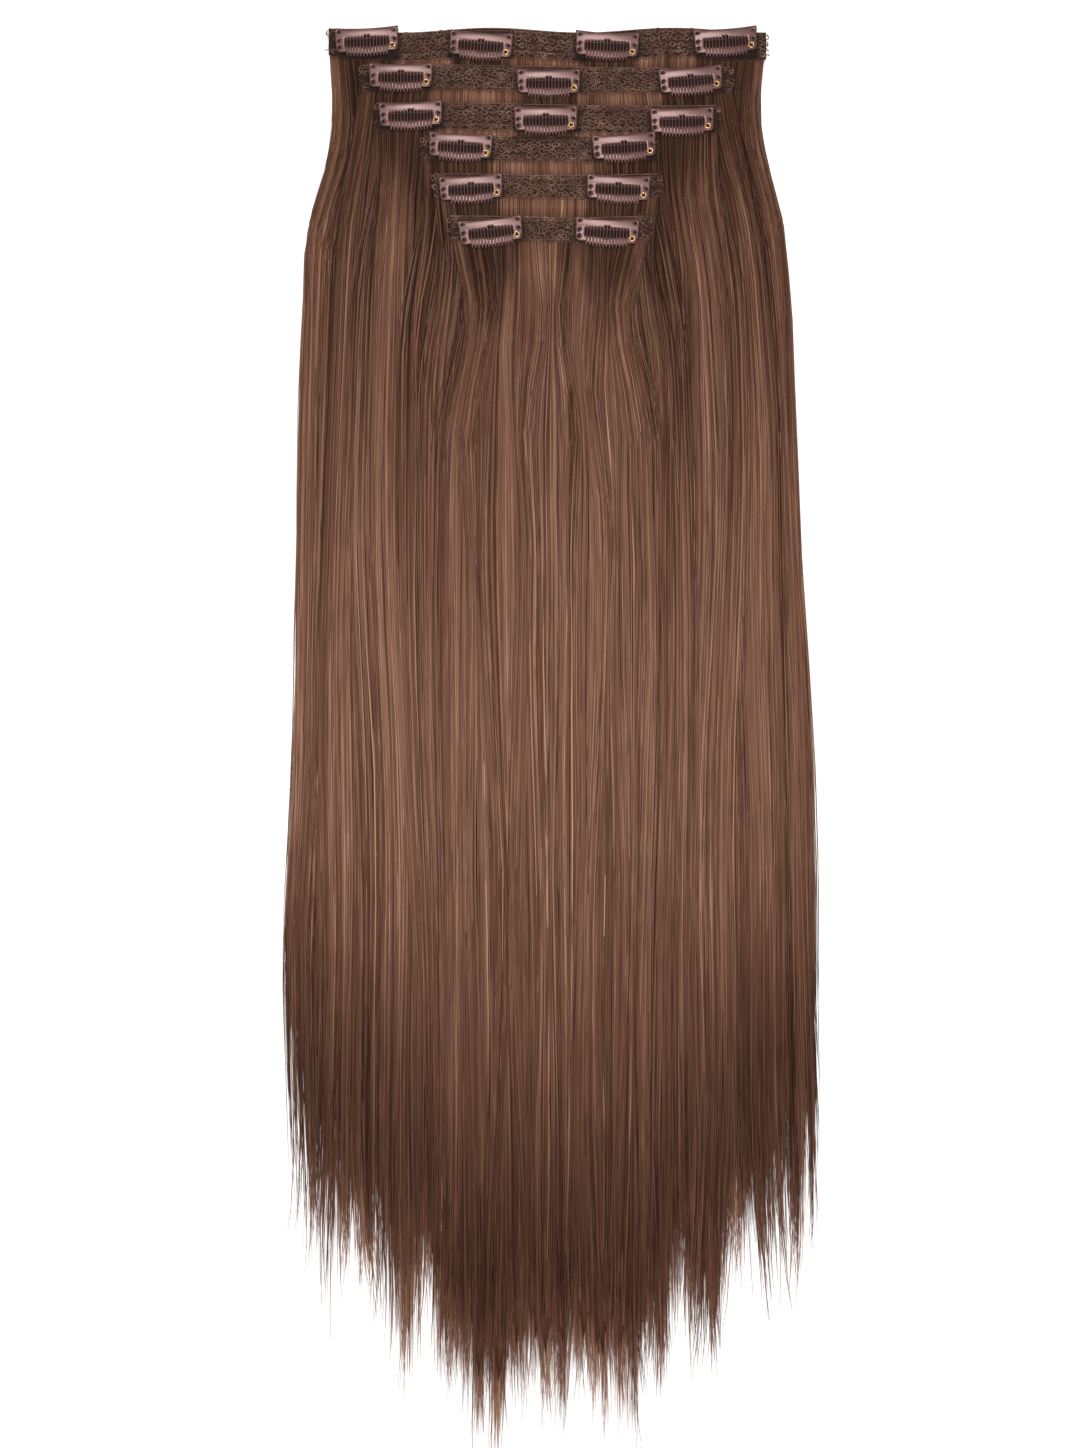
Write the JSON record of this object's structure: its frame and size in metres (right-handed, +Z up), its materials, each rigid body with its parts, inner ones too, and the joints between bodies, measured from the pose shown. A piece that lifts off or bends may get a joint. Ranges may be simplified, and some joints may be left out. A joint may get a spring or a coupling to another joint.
{
  "type": "clip in hair extension",
  "caption": "Layered clip-in hairpiece of long straight brown hair on lace bands, lying clip side up, with toothed snap clips sewn to each band.",
  "frame": {"origin": "on the surface that the hairpiece lies on, under the middle of its outline", "axes": "+Y along the hair, from its tips to the tracks; +X across the tracks; +Z up, to the clip side"},
  "size_m": [0.2656, 0.7056, 0.018],
  "materials": {
    "hair": "straight mid-brown hair fibre, soft sheen",
    "lace": "dark brown lace and stitching, matt",
    "clip_paint": "mauve-brown paint, satin",
    "eyelet_brass": "bright brass"
  },
  "bodies": {
    "wefts": {"weft1_hair": "hair", "weft1_band": "lace", "weft1_clip1_frame": "clip_paint", "weft1_clip1_eyelet": "eyelet_brass", "weft1_clip2_frame": "clip_paint", "weft1_clip2_eyelet": "eyelet_brass", "weft1_clip3_frame": "clip_paint", "weft1_clip3_eyelet": "eyelet_brass", "weft1_clip4_frame": "clip_paint", "weft1_clip4_eyelet": "eyelet_brass", "weft2_hair": "hair", "weft2_band": "lace", "weft2_clip1_frame": "clip_paint", "weft2_clip1_eyelet": "eyelet_brass", "weft2_clip2_frame": "clip_paint", "weft2_clip2_eyelet": "eyelet_brass", "weft2_clip3_frame": "clip_paint", "weft2_clip3_eyelet": "eyelet_brass", "weft3_hair": "hair", "weft3_band": "lace", "weft3_clip1_frame": "clip_paint", "weft3_clip1_eyelet": "eyelet_brass", "weft3_clip2_frame": "clip_paint", "weft3_clip2_eyelet": "eyelet_brass", "weft3_clip3_frame": "clip_paint", "weft3_clip3_eyelet": "eyelet_brass", "weft4_hair": "hair", "weft4_band": "lace", "weft4_clip1_frame": "clip_paint", "weft4_clip1_eyelet": "eyelet_brass", "weft4_clip2_frame": "clip_paint", "weft4_clip2_eyelet": "eyelet_brass", "weft5_hair": "hair", "weft5_band": "lace", "weft5_clip1_frame": "clip_paint", "weft5_clip1_eyelet": "eyelet_brass", "weft5_clip2_frame": "clip_paint", "weft5_clip2_eyelet": "eyelet_brass", "weft6_hair": "hair", "weft6_band": "lace", "weft6_clip1_frame": "clip_paint", "weft6_clip1_eyelet": "eyelet_brass", "weft6_clip2_frame": "clip_paint", "weft6_clip2_eyelet": "eyelet_brass"},
    "weft1_clip1_bar": {"weft1_clip1_comb": "clip_paint"},
    "weft1_clip2_bar": {"weft1_clip2_comb": "clip_paint"},
    "weft1_clip3_bar": {"weft1_clip3_comb": "clip_paint"},
    "weft1_clip4_bar": {"weft1_clip4_comb": "clip_paint"},
    "weft2_clip1_bar": {"weft2_clip1_comb": "clip_paint"},
    "weft2_clip2_bar": {"weft2_clip2_comb": "clip_paint"},
    "weft2_clip3_bar": {"weft2_clip3_comb": "clip_paint"},
    "weft3_clip1_bar": {"weft3_clip1_comb": "clip_paint"},
    "weft3_clip2_bar": {"weft3_clip2_comb": "clip_paint"},
    "weft3_clip3_bar": {"weft3_clip3_comb": "clip_paint"},
    "weft4_clip1_bar": {"weft4_clip1_comb": "clip_paint"},
    "weft4_clip2_bar": {"weft4_clip2_comb": "clip_paint"},
    "weft5_clip1_bar": {"weft5_clip1_comb": "clip_paint"},
    "weft5_clip2_bar": {"weft5_clip2_comb": "clip_paint"},
    "weft6_clip1_bar": {"weft6_clip1_comb": "clip_paint"},
    "weft6_clip2_bar": {"weft6_clip2_comb": "clip_paint"}
  },
  "joints": [
    {"name": "weft1_clip1_snap", "type": "hinge", "parent": "wefts", "child": "weft1_clip1_bar", "pos_m": [-0.09309, 0.34609, 0.0036], "axis": [-0.9989, -0.0471, 0], "range_deg": [0, 35]},
    {"name": "weft1_clip2_snap", "type": "hinge", "parent": "wefts", "child": "weft1_clip2_bar", "pos_m": [-0.0358, 0.34386, 0.0036], "axis": [-0.9979, 0.0645, 0], "range_deg": [0, 35]},
    {"name": "weft1_clip3_snap", "type": "hinge", "parent": "wefts", "child": "weft1_clip3_bar", "pos_m": [0.02752, 0.34386, 0.0036], "axis": [-0.9989, 0.0471, 0], "range_deg": [0, 35]},
    {"name": "weft1_clip4_snap", "type": "hinge", "parent": "wefts", "child": "weft1_clip4_bar", "pos_m": [0.08678, 0.34586, 0.0036], "axis": [-0.9979, -0.0645, 0], "range_deg": [0, 35]},
    {"name": "weft2_clip1_snap", "type": "hinge", "parent": "wefts", "child": "weft2_clip1_bar", "pos_m": [-0.07587, 0.32769, 0.0063], "axis": [-1, 0, 0], "range_deg": [0, 35]},
    {"name": "weft2_clip2_snap", "type": "hinge", "parent": "wefts", "child": "weft2_clip2_bar", "pos_m": [-0.00186, 0.32469, 0.0063], "axis": [-1, 0, 0], "range_deg": [0, 35]},
    {"name": "weft2_clip3_snap", "type": "hinge", "parent": "wefts", "child": "weft2_clip3_bar", "pos_m": [0.06928, 0.3257, 0.0063], "axis": [-0.9971, -0.0767, 0], "range_deg": [0, 35]},
    {"name": "weft3_clip1_snap", "type": "hinge", "parent": "wefts", "child": "weft3_clip1_bar", "pos_m": [-0.07084, 0.30793, 0.009], "axis": [-0.9993, -0.0366, 0], "range_deg": [0, 35]},
    {"name": "weft3_clip2_snap", "type": "hinge", "parent": "wefts", "child": "weft3_clip2_bar", "pos_m": [-0.0033, 0.30552, 0.009], "axis": [-1, -0.0087, 0], "range_deg": [0, 35]},
    {"name": "weft3_clip3_snap", "type": "hinge", "parent": "wefts", "child": "weft3_clip3_bar", "pos_m": [0.06487, 0.30485, 0.009], "axis": [-0.9996, -0.0279, 0], "range_deg": [0, 35]},
    {"name": "weft4_clip1_snap", "type": "hinge", "parent": "wefts", "child": "weft4_clip1_bar", "pos_m": [-0.04581, 0.29173, 0.0117], "axis": [-0.999, 0.0454, 0], "range_deg": [0, 35]},
    {"name": "weft4_clip2_snap", "type": "hinge", "parent": "wefts", "child": "weft4_clip2_bar", "pos_m": [0.03581, 0.29146, 0.0117], "axis": [-0.9979, -0.0645, 0], "range_deg": [0, 35]},
    {"name": "weft5_clip1_snap", "type": "hinge", "parent": "wefts", "child": "weft5_clip1_bar", "pos_m": [-0.04063, 0.2703, 0.0144], "axis": [-0.9981, -0.061, 0], "range_deg": [0, 35]},
    {"name": "weft5_clip2_snap", "type": "hinge", "parent": "wefts", "child": "weft5_clip2_bar", "pos_m": [0.03284, 0.27022, 0.0144], "axis": [-0.999, 0.0436, 0], "range_deg": [0, 35]},
    {"name": "weft6_clip1_snap", "type": "hinge", "parent": "wefts", "child": "weft6_clip1_bar", "pos_m": [-0.0307, 0.24848, 0.0171], "axis": [-0.9943, -0.1063, 0], "range_deg": [0, 35]},
    {"name": "weft6_clip2_snap", "type": "hinge", "parent": "wefts", "child": "weft6_clip2_bar", "pos_m": [0.02719, 0.24839, 0.0171], "axis": [-0.9983, 0.0576, 0], "range_deg": [0, 35]}
  ]
}
